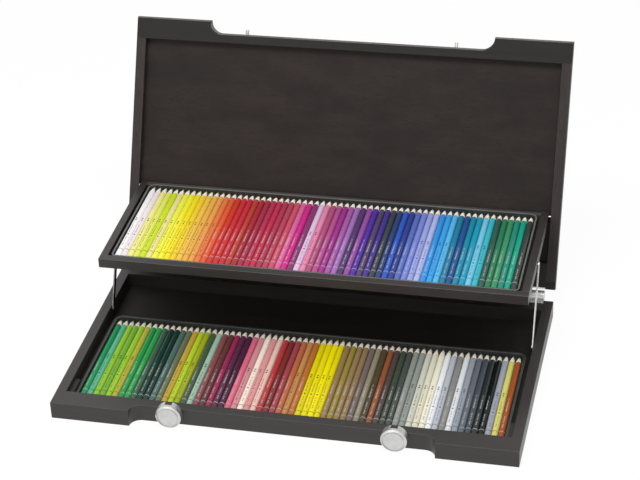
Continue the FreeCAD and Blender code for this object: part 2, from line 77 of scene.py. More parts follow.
def pick_faces(piece, wanted):
    """Selects the faces that pass a test, and only those."""
    for face in piece.data.polygons:
        face.select = wanted(face)
    bpy.ops.object.mode_set(mode="EDIT")


def apply_modifier(piece, kind, **settings):
    take(piece)
    modifier = piece.modifiers.new(kind.lower(), kind)
    for name, value in settings.items():
        setattr(modifier, name, value)
    bpy.ops.object.modifier_apply(modifier=modifier.name)


print("nodes in the frame:", len(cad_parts))

# %% [markdown]
# ## Eased edges
#
# A joiner never leaves an arris sharp: a few strokes of fine paper round it, and the stain rubs thin
# there. A solid from the frame has knife edges. It could be rounded in the solids, but a bevel here
# is lighter and can take a finish of its own; its lighter colour is partly rubbed stain and partly a
# painted highlight. The solid's triangles are loose, so a copy is merged first, and flat parts are
# dissolved into whole faces, so that the bevel meets only real edges.

# %% Copy a solid and ease its edges
MERGE_DISTANCE = 0.002 * MM
FLAT_ANGLE = math.radians(0.4)
SHARP_ANGLE = math.radians(32)
SMOOTH_BEFORE = math.radians(34)
SMOOTH_AFTER = math.radians(50)
WOOD_EDGE = 0.35 * MM
FINE_EDGE = 0.3 * MM
THIN_EDGE = 0.2 * MM
SECOND_FINISH = 1


def merged_copy(node_name):
    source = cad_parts[node_name]
    piece = bpy.data.objects.new(node_name + "_eased", source.data.copy())
    bpy.context.scene.collection.objects.link(piece)
    piece.data.materials.clear()
    take(piece)
    bpy.ops.mesh.customdata_custom_splitnormals_clear()
    bpy.ops.object.mode_set(mode="EDIT")
    bpy.ops.mesh.select_all(action="SELECT")
    bpy.ops.mesh.remove_doubles(threshold=MERGE_DISTANCE)
    bpy.ops.mesh.dissolve_limited(angle_limit=FLAT_ANGLE)
    bpy.ops.object.mode_set(mode="OBJECT")
    return piece


def ease(piece, finishes, width=WOOD_EDGE):
    """Rounds a copy's edges. The first finish is for its faces, the last for the edges."""
    for finish in finishes:
        piece.data.materials.append(finish)
    take(piece)
    bpy.ops.object.shade_smooth_by_angle(angle=SMOOTH_BEFORE)
    apply_modifier(piece, "BEVEL", width=width, segments=2, limit_method="ANGLE",
                   angle_limit=SHARP_ANGLE, material=len(finishes) - 1,
                   use_clamp_overlap=True)
    bpy.ops.object.shade_smooth_by_angle(angle=SMOOTH_AFTER)
    apply_modifier(piece, "WEIGHTED_NORMAL", keep_sharp=True, weight=90)
    return piece


def eased(node_name, finishes, width=WOOD_EDGE):
    return ease(merged_copy(node_name), finishes, width)


def fit(piece, body, nodes):
    """The piece stands for these solids and rides on their body."""
    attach(piece, body)
    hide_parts(*nodes)
    print(piece.name, len(piece.data.polygons), "faces")


# %% [markdown]
# ## Wiring finishes
#
# A finish is a small network of nodes. Short helpers keep the wiring readable: they add a node, do
# sums, mix two colours, stretch a range, and start a material from its measured place on the piece.
# A pattern that several materials share is wired once, as a group.

# %% Helpers for finishes
def add(tree, kind, **settings):
    node = tree.nodes.new("ShaderNode" + kind)
    for name, value in settings.items():
        setattr(node, name, value)
    return node


def feed(tree, socket, value):
    if isinstance(value, bpy.types.NodeSocket):
        tree.links.new(value, socket)
    else:
        socket.default_value = value


def reckon(tree, operation, *values):
    node = add(tree, "Math", operation=operation)
    for place, value in enumerate(values):
        feed(tree, node.inputs[place], value)
    return node.outputs[0]


def mix_colours(tree, mask, first, second):
    node = add(tree, "Mix", data_type="RGBA", blend_type="MIX")
    feed(tree, node.inputs[0], mask)
    feed(tree, node.inputs[6], first)
    feed(tree, node.inputs[7], second)
    return node.outputs[2]


def ranged(tree, value, low, high, from_low=0.0, from_high=1.0):
    node = add(tree, "MapRange")
    feed(tree, node.inputs["Value"], value)
    for name, number in (("From Min", from_low), ("From Max", from_high),
                         ("To Min", low), ("To Max", high)):
        node.inputs[name].default_value = number
    return node.outputs["Result"]


def paint(red, green, blue):
    """A colour as a screen shows it, 0 to 255, turned into the light it sends back."""
    def light(value):
        value = value / 255
        return value / 12.92 if value <= 0.04045 else ((value + 0.055) / 1.055) ** 2.4
    return (light(red), light(green), light(blue), 1.0)


def start_finish(name, centre=(0, 0, 0), turn=(0, 0, 0)):
    """A material, its shader, and the place on the piece with its pattern centred and turned."""
    material = bpy.data.materials.new(name)
    material.use_nodes = True
    tree = material.node_tree
    shader = tree.nodes["Principled BSDF"]
    place = add(tree, "TexCoord").outputs["Object"]
    shift = add(tree, "Mapping", vector_type="POINT")
    shift.inputs["Location"].default_value = [-v for v in centre]
    tree.links.new(place, shift.inputs["Vector"])
    spin = add(tree, "Mapping", vector_type="POINT")
    spin.inputs["Rotation"].default_value = turn
    tree.links.new(shift.outputs[0], spin.inputs["Vector"])
    return material, tree, shader, spin.outputs[0]


def raise_surface(tree, shader, height, strength, distance):
    bump = add(tree, "Bump")
    bump.inputs["Strength"].default_value = strength
    bump.inputs["Distance"].default_value = distance
    feed(tree, bump.inputs["Height"], height)
    tree.links.new(bump.outputs[0], shader.inputs["Normal"])


def new_group(name, inputs, outputs):
    group = bpy.data.node_groups.new(name, "ShaderNodeTree")
    for label, kind, start in inputs:
        socket = group.interface.new_socket(name=label, in_out="INPUT", socket_type=kind)
        if start is not None:
            socket.default_value = start
    for label, kind in outputs:
        group.interface.new_socket(name=label, in_out="OUTPUT", socket_type=kind)
    return group, group.nodes.new("NodeGroupInput"), group.nodes.new("NodeGroupOutput")


def use_group(tree, group, **values):
    node = add(tree, "Group", node_tree=group)
    for name, value in values.items():
        feed(tree, node.inputs[name], value)
    return node


print("middle grey as light:", round(paint(128, 128, 128)[0], 4))

# %% [markdown]
# ## Stained wood
#
# The case is a dark, open-pored wood, stained nearly black and given a thin satin coat. Its grain is
# long fibres with short open pores, under slow clouds where the stain soaked in unevenly. One group
# makes these three layers for grain along X, and each material turns the pattern to lie along its
# own rail, as the joiner does when sawing the stock.

# %% The grain group
# How often each layer changes along the grain and twice across it, per metre.
FIBRES = (14, 900, 900)
BANDS = (5, 150, 150)
CLOUDS = (16, 34, 34)
PORES = (110, 1500, 1500)


def noise(tree, vector, stretch, detail, roughness=0.55):
    scaled = add(tree, "VectorMath", operation="MULTIPLY")
    tree.links.new(vector, scaled.inputs[0])
    scaled.inputs[1].default_value = stretch
    node = add(tree, "TexNoise")
    node.inputs["Scale"].default_value = 1.0
    node.inputs["Detail"].default_value = detail
    node.inputs["Roughness"].default_value = roughness
    tree.links.new(scaled.outputs[0], node.inputs["Vector"])
    return node.outputs["Fac"]


def make_grain():
    group, start, end = new_group(
        "open_grain",
        [("Place", "NodeSocketVector", None), ("Clouds", "NodeSocketFloat", 0.3)],
        [("Tone", "NodeSocketFloat"), ("Pores", "NodeSocketFloat"),
         ("Height", "NodeSocketFloat")])
    place = start.outputs["Place"]
    fibres = noise(group, place, FIBRES, 3)
    bands = noise(group, place, BANDS, 2)
    clouds = noise(group, place, CLOUDS, 4, 0.6)
    pore_noise = noise(group, place, PORES, 1)
    pores = ranged(group, pore_noise, 0.0, 1.0, 0.60, 0.70)
    wide_streaks = reckon(group, "MULTIPLY", bands, 0.45)
    streaks = reckon(group, "MULTIPLY_ADD", fibres, 0.55, wide_streaks)
    share = start.outputs["Clouds"]
    rest = reckon(group, "MULTIPLY", streaks, reckon(group, "SUBTRACT", 1.0, share))
    layered = reckon(group, "MULTIPLY_ADD", clouds, share, rest)
    tone = ranged(group, layered, 0.0, 1.0, 0.34, 0.66)
    height = reckon(group, "SUBTRACT", reckon(group, "MULTIPLY", fibres, 0.35), pores)
    feed(group, end.inputs["Tone"], tone)
    feed(group, end.inputs["Pores"], pores)
    feed(group, end.inputs["Height"], height)
    return group


OPEN_GRAIN = make_grain()
print("grain group has", len(OPEN_GRAIN.nodes), "nodes")


# %% The wood finishes
def stained_wood(name, turn, dark, light, gloss=(0.34, 0.5), coat=0.12, shine=0.5,
                 clouds=0.3):
    material, tree, shader, place = start_finish(name, turn=turn)
    grain = use_group(tree, OPEN_GRAIN, Place=place, Clouds=clouds)
    stain = mix_colours(tree, grain.outputs["Tone"], paint(*dark), paint(*light))
    deep = paint(*[v * 0.55 for v in dark])
    filled = reckon(tree, "MULTIPLY", grain.outputs["Pores"], 0.7)
    stain = mix_colours(tree, filled, stain, deep)
    tree.links.new(stain, shader.inputs["Base Color"])
    tree.links.new(ranged(tree, grain.outputs["Tone"], *gloss), shader.inputs["Roughness"])
    shader.inputs["Specular IOR Level"].default_value = shine
    shader.inputs["Coat Weight"].default_value = coat
    shader.inputs["Coat Roughness"].default_value = 0.3
    raise_surface(tree, shader, grain.outputs["Height"], 0.25, 0.2 * MM)
    return material


LID_LEAN = math.radians(26)
QUARTER_TURN = math.radians(90)
ALONG_X = (0, 0, 0)
ALONG_Y = (0, 0, QUARTER_TURN)
ALONG_LID = (LID_LEAN - QUARTER_TURN, 0, QUARTER_TURN)
RAIL_DARK, RAIL_LIGHT = (31, 26, 26), (47, 40, 40)
# The edge finish is lighter: partly rubbed stain, partly a painted highlight along each edge.
EDGE_DARK, EDGE_LIGHT = (51, 46, 45), (82, 75, 73)
wood_x = stained_wood("dark_wood_crosswise", ALONG_X, RAIL_DARK, RAIL_LIGHT)
wood_y = stained_wood("dark_wood_lengthwise", ALONG_Y, RAIL_DARK, RAIL_LIGHT)
edge_x = stained_wood("edge_wear_and_highlight_crosswise", ALONG_X, EDGE_DARK, EDGE_LIGHT)
edge_y = stained_wood("edge_wear_and_highlight_lengthwise", ALONG_Y, EDGE_DARK, EDGE_LIGHT)
# The lid's cross rails are a darker copy of the rail wood: painted shade.
shaded_lid_x = stained_wood("lid_wood_crosswise_painted_shade", ALONG_X, (20, 17, 16), (32, 28, 27),
                     gloss=(0.4, 0.55), coat=0.0, shine=0.25)
wood_lid = stained_wood("lid_wood_on_the_slant", ALONG_LID, (40, 34, 33), (57, 50, 49),
                        gloss=(0.4, 0.55), coat=0.0, shine=0.25)
edge_lid = stained_wood("edge_wear_and_highlight_on_the_slant", ALONG_LID, EDGE_DARK, EDGE_LIGHT)
lid_lip = stained_wood("lid_lip_painted_highlight", ALONG_X, (76, 72, 70), (104, 99, 97),
                       gloss=(0.45, 0.6), coat=0.08, shine=0.3)
panel_wood = stained_wood("brown_panel", ALONG_X, (25, 20, 18), (45, 37, 34),
                          gloss=(0.5, 0.65), coat=0.0, shine=0.2, clouds=0.8)
floor_wood = stained_wood("dark_floor_board", ALONG_X, (19, 16, 13), (30, 26, 22),
                          gloss=(0.5, 0.7), coat=0.0)

# %% [markdown]
# ## Metals
#
# The knobs are turned on a lathe, which leaves rings round the axis. Links and leaves are rolled and
# brushed along their length, and the shallow trays that hold the pencils are pressed from tin plate
# and painted grey. Each of these marks is a group, and the metal itself is only colour and gloss.
# The link on the left stands in shade, and its darker steel of its own is painted shade.

# %% Rings, brushing and speckle
def make_rings():
    group, start, end = new_group(
        "turned_rings",
        [("Place", "NodeSocketVector", None), ("Rings per metre", "NodeSocketFloat", 9000.0)],
        [("Rings", "NodeSocketFloat"), ("Wear", "NodeSocketFloat")])
    parts = add(group, "SeparateXYZ")
    group.links.new(start.outputs["Place"], parts.inputs[0])
    square_x = reckon(group, "MULTIPLY", parts.outputs["X"], parts.outputs["X"])
    square_z = reckon(group, "MULTIPLY", parts.outputs["Z"], parts.outputs["Z"])
    radius = reckon(group, "SQRT", reckon(group, "ADD", square_x, square_z))
    turns = reckon(group, "MULTIPLY", radius, start.outputs["Rings per metre"])
    waver = noise(group, start.outputs["Place"], (120, 120, 120), 2)
    wave = reckon(group, "SINE", reckon(group, "ADD", turns, waver))
    feed(group, end.inputs["Rings"], ranged(group, wave, 0.0, 1.0, -1.0, 1.0))
    feed(group, end.inputs["Wear"], ranged(group, waver, 0.0, 1.0, 0.4, 0.7))
    return group


def make_brushing():
    group, start, end = new_group(
        "brushed_lines",
        [("Place", "NodeSocketVector", None)],
        [("Lines", "NodeSocketFloat"), ("Wear", "NodeSocketFloat")])
    place = start.outputs["Place"]
    feed(group, end.inputs["Lines"], noise(group, place, (30, 2600, 2600), 2))
    wear = noise(group, place, (90, 90, 90), 3)
    feed(group, end.inputs["Wear"], ranged(group, wear, 0, 1, 0.35, 0.7))
    return group


def make_speckle():
    group, start, end = new_group(
        "fine_speckle",
        [("Place", "NodeSocketVector", None)],
        [("Speckle", "NodeSocketFloat"), ("Clouds", "NodeSocketFloat")])
    place = start.outputs["Place"]
    feed(group, end.inputs["Speckle"], noise(group, place, (1500, 1500, 1500), 2))
    clouds = noise(group, place, (60, 60, 60), 3)
    feed(group, end.inputs["Clouds"], ranged(group, clouds, 0, 1, 0.3, 0.7))
    return group


TURNED_RINGS = make_rings()
BRUSHED_LINES = make_brushing()
FINE_SPECKLE = make_speckle()
print("marks:", TURNED_RINGS.name, BRUSHED_LINES.name, FINE_SPECKLE.name)


# %% The metal finishes
def turned_metal(name, centre, dark, light, gloss=(0.32, 0.38)):
    material, tree, shader, place = start_finish(name, centre=centre)
    marks = use_group(tree, TURNED_RINGS, Place=place)
    colour = mix_colours(tree, marks.outputs["Wear"], paint(*dark), paint(*light))
    tree.links.new(colour, shader.inputs["Base Color"])
    tree.links.new(ranged(tree, marks.outputs["Rings"], *gloss), shader.inputs["Roughness"])
    shader.inputs["Metallic"].default_value = 1.0
    raise_surface(tree, shader, marks.outputs["Rings"], 0.04, 0.02 * MM)
    return material


def brushed_metal(name, turn, dark, light, gloss=(0.24, 0.4)):
    material, tree, shader, place = start_finish(name, turn=turn)
    marks = use_group(tree, BRUSHED_LINES, Place=place)
    colour = mix_colours(tree, marks.outputs["Wear"], paint(*dark), paint(*light))
    tree.links.new(colour, shader.inputs["Base Color"])
    tree.links.new(ranged(tree, marks.outputs["Lines"], *gloss), shader.inputs["Roughness"])
    shader.inputs["Metallic"].default_value = 1.0
    raise_surface(tree, shader, marks.outputs["Lines"], 0.1, 0.03 * MM)
    return material


def painted_tin(name, dark, light, gloss=(0.4, 0.55), metal=0.0):
    material, tree, shader, place = start_finish(name)
    marks = use_group(tree, FINE_SPECKLE, Place=place)
    tone = reckon(tree, "MULTIPLY_ADD", marks.outputs["Speckle"], 0.4,
                  reckon(tree, "MULTIPLY", marks.outputs["Clouds"], 0.6))
    colour = mix_colours(tree, tone, paint(*dark), paint(*light))
    tree.links.new(colour, shader.inputs["Base Color"])
    tree.links.new(ranged(tree, marks.outputs["Clouds"], *gloss), shader.inputs["Roughness"])
    shader.inputs["Metallic"].default_value = metal
    raise_surface(tree, shader, marks.outputs["Speckle"], 0.08, 0.05 * MM)
    return material


def middle(node_name):
    low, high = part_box(node_name)
    return tuple((Vector(low) + Vector(high)) / 2)


KNOB_DARK, KNOB_LIGHT = (200, 200, 198), (212, 212, 210)
left_knob_metal = turned_metal("left_knob_aluminium", middle("knob_left_disc"),
                               KNOB_DARK, KNOB_LIGHT)
right_knob_metal = turned_metal("right_knob_aluminium", middle("knob_right_disc"),
                                KNOB_DARK, KNOB_LIGHT)
hinge_metal = brushed_metal("hinge_aluminium", ALONG_X, (204, 205, 206), (228, 228, 228),
                            gloss=(0.4, 0.5))
pin_steel = brushed_metal("pin_steel", ALONG_X, (170, 170, 170), (214, 214, 212))
link_steel = brushed_metal("link_steel", ALONG_Y, (176, 176, 176), (220, 220, 218),
                           gloss=(0.2, 0.34))
# The lighter steel for a link's narrow sides is a painted highlight.
link_edge = brushed_metal("link_side_painted_highlight", ALONG_Y, (204, 203, 200), (222, 221, 218),
                          gloss=(0.32, 0.4))
shaded_link_steel = brushed_metal("link_steel_painted_shade", ALONG_Y, (92, 92, 90), (124, 124, 121),
                           gloss=(0.3, 0.42))
tin_grey = painted_tin("grey_tin", (50, 52, 50), (66, 68, 66))
# The rim's lighter grey is a painted highlight.
tin_rim = painted_tin("tin_rim_painted_highlight", (88, 91, 87), (112, 115, 110), gloss=(0.4, 0.5), metal=0.1)

# %% [markdown]
# ## The base
#
# Four rails and a thin floor make the base. The front rail is cut back in the middle, so that
# fingers reach the knobs. The rails are the frame's solids with eased edges, and the bevel has its
# own, lighter finish: partly rubbed stain, partly a painted highlight along the edge.

# %% Rails, floor and rests of the base
for name in ("base_front_rail", "base_rear_rail"):
    fit(eased(name, [wood_x, edge_x]), "base", [name])
for name in ("base_left_rail", "base_right_rail"):
    fit(eased(name, [wood_y, edge_y]), "base", [name])
fit(eased("base_floor", [floor_wood], THIN_EDGE), "base", ["base_floor"])
fit(eased("tray_rests", [floor_wood], FINE_EDGE), "base", ["tray_rests"])

# %% [markdown]
# ## The lid
#
# The lid is a frame of the same rails round a thin panel. It has turned 116 degrees, so it leans
# back 26 degrees from upright. Hands open it at the front rail, whose inner edge is rounded more
# than the others, and whose upper sides carry a painted highlight: they show as a pale lip.

# %% Rails and panel of the lid
LID_UP = Vector((0, math.sin(LID_LEAN), math.cos(LID_LEAN)))
LID_INSIDE = Vector((0, -math.cos(LID_LEAN), math.sin(LID_LEAN)))
LIP_WIDTH = 1.9 * MM
# How nearly a face must look along one of these directions, as the cosine between them.
INWARD = 0.95
UPWARD = 0.1
LIP_UPWARD = 0.25


def round_lip(piece, width):
    """Rounds the edge between the rail's inner side and its upper sides, the recess included."""
    normals = {}
    for face in piece.data.polygons:
        for key in face.edge_keys:
            normals.setdefault(key, []).append(face.normal.copy())
    take(piece)
    bpy.ops.object.mode_set(mode="EDIT")
    bpy.ops.mesh.select_mode(type="EDGE")
    bpy.ops.mesh.select_all(action="DESELECT")
    bpy.ops.object.mode_set(mode="OBJECT")
    for edge in piece.data.edges:
        sides = normals[edge.key]
        inner = any(side.dot(LID_INSIDE) > INWARD for side in sides)
        upper = any(side.dot(LID_UP) > UPWARD for side in sides)
        edge.select = inner and upper
    print("lip edges:", sum(edge.select for edge in piece.data.edges))
    bpy.ops.object.mode_set(mode="EDIT")
    bpy.ops.mesh.bevel(offset=width, segments=3, affect="EDGES", clamp_overlap=False)
    bpy.ops.object.mode_set(mode="OBJECT")


front_rail = merged_copy("lid_front_rail")
round_lip(front_rail, LIP_WIDTH)
ease(front_rail, [shaded_lid_x], FINE_EDGE)
front_rail.data.materials.append(lid_lip)
# The rail's upper sides take the lighter finish: a painted highlight.
for face in front_rail.data.polygons:
    if face.normal.dot(LID_UP) > LIP_UPWARD:
        face.material_index = SECOND_FINISH
fit(front_rail, "lid", ["lid_front_rail"])
for name in ("lid_rear_rail", "lid_hinge_strip"):
    fit(eased(name, [shaded_lid_x, edge_x]), "lid", [name])
for name in ("lid_left_rail", "lid_right_rail"):
    fit(eased(name, [wood_lid, edge_lid]), "lid", [name])
fit(eased("lid_panel", [panel_wood], THIN_EDGE), "lid", ["lid_panel"])

# %% [markdown]
# ## The upper tray
#
# The upper tray is lighter: its rails are thin, so that it drops into the base when the lid shuts.
# Its rear rail has the lighter edge finish all over, as painted light on its top.

# %% Rails and floor of the tray
# The rear rail takes the lighter edge finish all over: painted light.
TRAY_WOOD = {"tray_front_rail": [wood_x, edge_x], "tray_rear_rail": [edge_x],
             "tray_left_rail": [wood_y, edge_y], "tray_right_rail": [wood_y, edge_y]}
for name, finishes in TRAY_WOOD.items():
    fit(eased(name, finishes, FINE_EDGE), "tray", [name])
fit(eased("tray_floor", [floor_wood], THIN_EDGE), "tray", ["tray_floor"])

# %% [markdown]
# ## The pressed trays
#
# Each row of pencils lies in a shallow tray pressed from thin tin, with rounded corners and a flat
# rim. The rounded edges take a lighter grey, a painted highlight along the rim. On the upper tray
# the whole top of the rim takes it too.

# %% Both pressed trays
TIN_EDGE = 0.22 * MM
RIM_SLACK = 0.1 * MM
for name, body in (("lower_tin", "base"), ("upper_tin", "tray")):
    tin = eased(name, [tin_grey, tin_rim], TIN_EDGE)
    rim_height = max(corner.co.z for corner in tin.data.vertices)
    # The top faces of the upper tray's rim get the lighter grey too: a painted highlight.
    for face in tin.data.polygons:
        on_top = face.normal.z > 0.9 and face.center.z > rim_height - RIM_SLACK
        if body == "tray" and on_top:
            face.material_index = SECOND_FINISH
    fit(tin, body, [name])

# %% [markdown]
# ## Fittings
#
# Hinges, links and knobs are bought-in metal parts. Their solids are right, so they keep them, with
# eased edges that catch the light.

# %% Hinges, links, knobs and pins
def set_side_finish(piece):
    """Gives the narrow sides of a flat strip its second finish."""
    for face in piece.data.polygons:
        if abs(face.normal.x) < 0.5:
            face.material_index = SECOND_FINISH
    return piece


LEAF_EDGE = 0.25 * MM
for side in ("left", "right"):
    for body in ("base", "lid"):
        leaf = "hinge_%s_%s_leaf" % (side, body)
        fit(eased(leaf, [hinge_metal], LEAF_EDGE), body, [leaf])
    link = "link_" + side
    # The left link's darker steel is painted shade.
    faces = link_steel if side == "right" else shaded_link_steel
    # The right link's narrow sides take the lighter steel: a painted highlight.
    edges = link_edge if side == "right" else shaded_link_steel
    fit(set_side_finish(eased(link, [faces, edges], THIN_EDGE)), link, [link])
    knob_metal = left_knob_metal if side == "left" else right_knob_metal
    for part in ("body", "disc"):
        knob = "knob_%s_%s" % (side, part)
        fit(eased(knob, [knob_metal], THIN_EDGE), "knob_" + side, [knob])
fit(eased("latch_pins", [pin_steel], FINE_EDGE), "lid", ["latch_pins"])

# %% Small steel parts that keep the frame's own shape
SMALL_STEEL = ("link_base_pivots", "hinge_left_pin", "hinge_right_pin", "hinge_base_screws",
               "hinge_lid_screws", "tray_lid_pivots", "link_tray_pivots", "knob_left_spindle",
               "knob_left_retainer", "knob_right_spindle", "knob_right_retainer")
for name in SMALL_STEEL:
    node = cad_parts[name]
    node.data.materials.clear()
    node.data.materials.append(pin_steel)
print("small steel parts:", len(SMALL_STEEL))

# %% [markdown]
# ## One pencil
#
# A colour pencil here is round and lacquered, with a bare wooden cone and a coloured point. One
# pencil is modelled: a sixteen-sided bar whose front face is extruded and drawn in twice, for the
# cone and for the lead. All the others are copies, so it has few faces.

# %% Model one pencil
PENCIL_LENGTH = 168.4 * MM
PENCIL_RADIUS = 3.8 * MM
CONE = 10.2 * MM
LEAD = 4.8 * MM
LEAD_RADIUS = 1.8 * MM
# The point ends at this share of the lead's radius.
POINT_SHARE = 0.3
BUTT_BEVEL = 0.5 * MM
SIDES = 16
BAR = PENCIL_LENGTH - CONE - LEAD


def front_face(face):
    return face.normal.z > 0.99 and face.center.z > 0


def draw_out(length, end_y, factor):
    """Extrudes the selected end face and draws it in round the pencil's axis."""
    bpy.ops.mesh.extrude_region_move(TRANSFORM_OT_translate={"value": (0, length, 0)})
    bpy.ops.transform.resize(value=(factor, 1, factor), center_override=(0, end_y, 0))


def model_pencil():
    bpy.ops.object.select_all(action="DESELECT")
    bpy.ops.mesh.primitive_cylinder_add(vertices=SIDES, radius=PENCIL_RADIUS, depth=BAR,
                                        location=(0, BAR / 2, 0),
                                        rotation=(-QUARTER_TURN, 0, 0))
    pencil = bpy.context.active_object
    open_mesh(pencil)
    pick_faces(pencil, front_face)
    draw_out(CONE, BAR + CONE, LEAD_RADIUS / PENCIL_RADIUS)
    draw_out(LEAD, PENCIL_LENGTH, POINT_SHARE)
    bpy.ops.mesh.select_all(action="DESELECT")
    bpy.ops.object.mode_set(mode="OBJECT")
    pick_faces(pencil, lambda face: face.normal.z < -0.99)
    bpy.ops.mesh.bevel(offset=BUTT_BEVEL, segments=1)
    bpy.ops.object.mode_set(mode="OBJECT")
    bpy.ops.object.transform_apply(location=True, rotation=True, scale=True)
    return pencil


pencil = model_pencil()
print("one pencil has", len(pencil.data.polygons), "faces,",
      round(pencil.dimensions.y * 1000, 1), "mm long")


# %% Give its faces their finishes and a map round and along it
LACQUER, BARE, COLOUR = 0, 1, 2
# A face belongs to the cone or the lead from this share of its length on.
MARGIN = 0.2


def part_of_pencil(y):
    """Which finish a face has whose middle lies this far from the butt."""
    if y > BAR + CONE + LEAD * MARGIN:
        return COLOUR
    return BARE if y > BAR + CONE * MARGIN else LACQUER


def map_pencil(mesh):
    layer = mesh.uv_layers.active or mesh.uv_layers.new(name="round_and_along")
    layer.name = "round_and_along"
    for face in mesh.polygons:
        face.material_index = part_of_pencil(face.center.y)
        face.use_smooth = abs(face.normal.y) < 0.9
        middle_turn = math.atan2(face.center.x, face.center.z) / math.tau
        for loop in face.loop_indices:
            point = mesh.vertices[mesh.loops[loop].vertex_index].co
            turn = math.atan2(point.x, point.z) / math.tau
            turn += round(middle_turn - turn)
            layer.data[loop].uv = (turn + 0.5, point.y / PENCIL_LENGTH)


print("the cone begins", round(BAR * 1000, 1), "mm from the butt")

# %% [markdown]
# ## Pencil finishes
#
# The lacquer is one material for all the pencils: its colour is an attribute on each copy, so that
# 130 pencils need no more than three finishes. A thin ring runs round each pencil near the butt, and
# a line of foil marks runs along the top. Foil is dark on pale lacquer and silver on dark lacquer.

# %% The foil group
# Middles and half widths along the pencil, as shares of its length.
RING = (0.085, 0.0028)
MARKS = ((0.19, 0.075), (0.39, 0.08))
TICKS = ((0.49, 0.008), (0.515, 0.007), (0.287, 0.008))
# The same round the pencil, as shares of a turn.
MARKS_ROUND = (0.5, 0.03)
TICKS_ROUND = (0.5, 0.042)
# A printed line is broken into short strokes, and this share of them is left out.
STROKES_PER_LENGTH = 230
STROKES_LEFT_OUT = 0.38


def band(tree, value, centre, half):
    return reckon(tree, "COMPARE", value, centre, half)


def any_band(tree, value, places):
    total = band(tree, value, *places[0])
    for place in places[1:]:
        total = reckon(tree, "ADD", total, band(tree, value, *place))
    return total


def make_foil():
    group, start, end = new_group(
        "foil_marks",
        [("Map", "NodeSocketVector", None)],
        [("Ring", "NodeSocketFloat"), ("Marks", "NodeSocketFloat"),
         ("Ticks", "NodeSocketFloat")])
    parts = add(group, "SeparateXYZ")
    group.links.new(start.outputs["Map"], parts.inputs[0])
    around, along = parts.outputs["X"], parts.outputs["Y"]
    feed(group, end.inputs["Ring"], band(group, along, *RING))
    near_top = band(group, around, *MARKS_ROUND)
    cells = add(group, "TexWhiteNoise", noise_dimensions="1D")
    strokes = reckon(group, "MULTIPLY", along, STROKES_PER_LENGTH)
    feed(group, cells.inputs["W"], reckon(group, "FLOOR", strokes))
    drawn = reckon(group, "GREATER_THAN", cells.outputs["Value"], STROKES_LEFT_OUT)
    marks = reckon(group, "MULTIPLY", reckon(group, "MULTIPLY", near_top, drawn),
                   any_band(group, along, MARKS))
    feed(group, end.inputs["Marks"], marks)
    ticks = reckon(group, "MULTIPLY", band(group, around, *TICKS_ROUND),
                   any_band(group, along, TICKS))
    feed(group, end.inputs["Ticks"], ticks)
    return group


FOIL_MARKS = make_foil()


# %% Lacquer, bare wood and lead
BLACK = (0, 0, 0, 1)
SILVER_FOIL = paint(190, 190, 190)
DARK_FOIL = paint(44, 42, 40)
PALE_FROM = 0.3


def lacquer_finish():
    material, tree, shader, place = start_finish("pencil_lacquer")
    chart = add(tree, "UVMap", uv_map="round_and_along")
    pigment = add(tree, "Attribute", attribute_name="pigment").outputs["Color"]
    foil = use_group(tree, FOIL_MARKS, Map=chart.outputs[0])
    clouds = use_group(tree, FINE_SPECKLE, Place=place).outputs["Clouds"]
    shade = mix_colours(tree, ranged(tree, clouds, 0.0, 0.04), pigment, BLACK)
    grey = add(tree, "RGBToBW")
    tree.links.new(pigment, grey.inputs[0])
    pale = reckon(tree, "GREATER_THAN", grey.outputs[0], PALE_FROM)
    foil_colour = mix_colours(tree, pale, SILVER_FOIL, DARK_FOIL)
    marks = reckon(tree, "MULTIPLY", foil.outputs["Marks"], 0.55)
    ticks = reckon(tree, "MULTIPLY", foil.outputs["Ticks"], pale)
    bold = reckon(tree, "MAXIMUM", foil.outputs["Ring"], ticks)
    marks = reckon(tree, "MAXIMUM", marks, reckon(tree, "MULTIPLY", bold, 0.85))
    tree.links.new(mix_colours(tree, marks, shade, foil_colour), shader.inputs["Base Color"])
    tree.links.new(ranged(tree, clouds, 0.22, 0.32), shader.inputs["Roughness"])
    shader.inputs["Specular IOR Level"].default_value = 0.28
    shader.inputs["Coat Weight"].default_value = 0.06
    shader.inputs["Coat Roughness"].default_value = 0.12
    return material


def bare_wood():
    material, tree, shader, place = start_finish("sharpened_wood", turn=ALONG_Y)
    fibres = noise(tree, place, (60, 1800, 1800), 2)
    colour = mix_colours(tree, fibres, paint(244, 232, 210), paint(255, 250, 238))
    tree.links.new(colour, shader.inputs["Base Color"])
    tree.links.new(ranged(tree, fibres, 0.55, 0.75), shader.inputs["Roughness"])
    raise_surface(tree, shader, fibres, 0.2, 0.1 * MM)
    return material


def coloured_lead():
    material, tree, shader, place = start_finish("coloured_lead")
    pigment = add(tree, "Attribute", attribute_name="pigment").outputs["Color"]
    grit = use_group(tree, FINE_SPECKLE, Place=place).outputs["Speckle"]
    shade = mix_colours(tree, ranged(tree, grit, 0.05, 0.3), pigment, BLACK)
    tree.links.new(shade, shader.inputs["Base Color"])
    tree.links.new(ranged(tree, grit, 0.5, 0.7), shader.inputs["Roughness"])
    return material


pencil_finishes = (lacquer_finish(), bare_wood(), coloured_lead())
for finish in pencil_finishes:
    pencil.data.materials.append(finish)
map_pencil(pencil.data)
print("pencil finishes:", [finish.name for finish in pencil_finishes])
